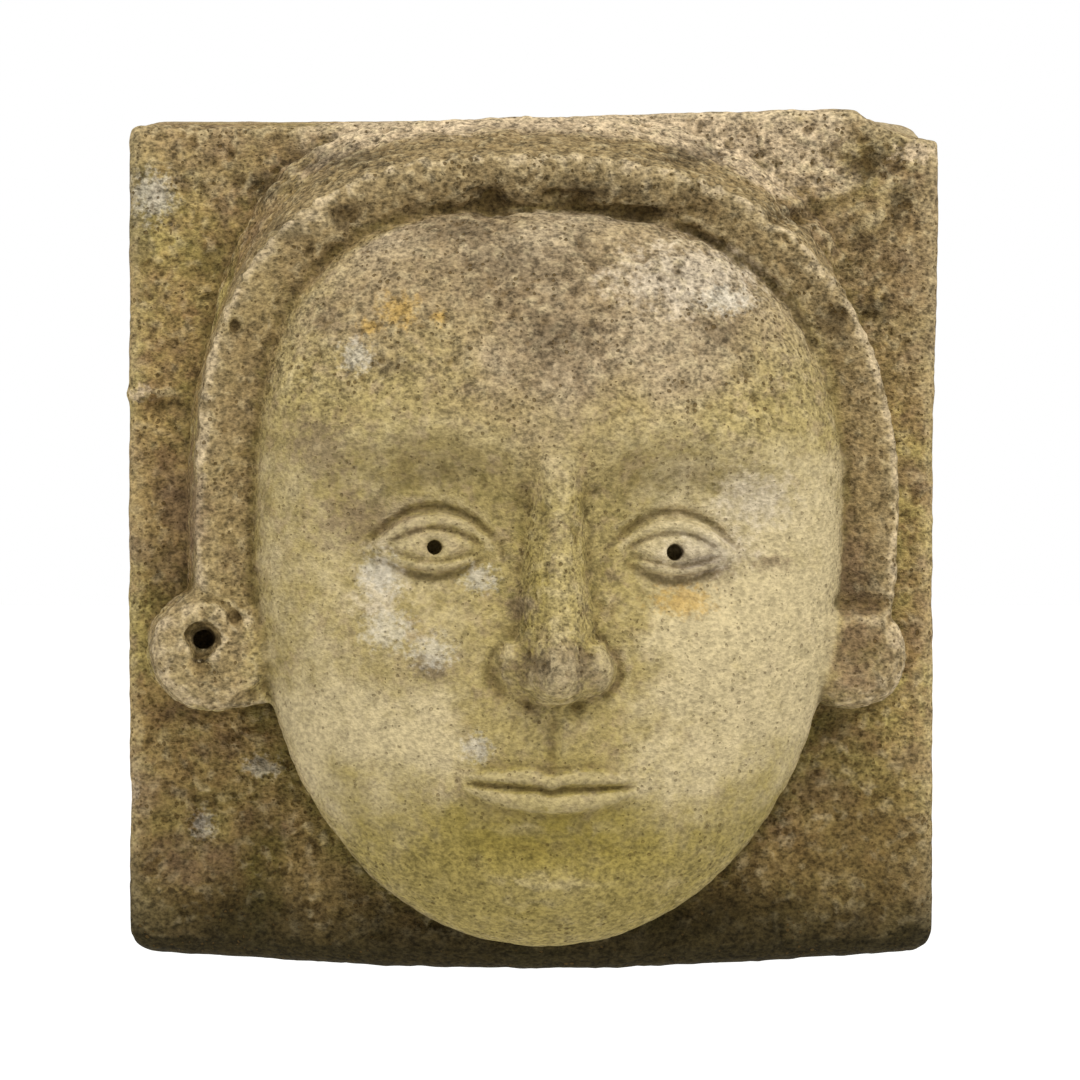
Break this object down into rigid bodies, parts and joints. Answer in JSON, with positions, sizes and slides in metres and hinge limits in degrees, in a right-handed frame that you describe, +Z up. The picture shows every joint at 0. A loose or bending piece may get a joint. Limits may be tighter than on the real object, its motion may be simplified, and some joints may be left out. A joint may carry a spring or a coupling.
{
  "type": "carved head corbel",
  "caption": "Squared limestone corbel with a human head in high relief, framed by a roll of hair that ends in a curl at each jaw",
  "frame": {"origin": "middle of the flat back face, where the corbel beds against its wall", "axes": "+Z up, -Y is the way the head looks, +Y points into the wall, +X is the viewer's right"},
  "size_m": [0.3025, 0.2207, 0.321],
  "materials": {
    "stone": "weathered limestone, pitted, with lichen and algae"
  },
  "bodies": {
    "root": {"head_corbel": "stone"}
  },
  "joints": []
}
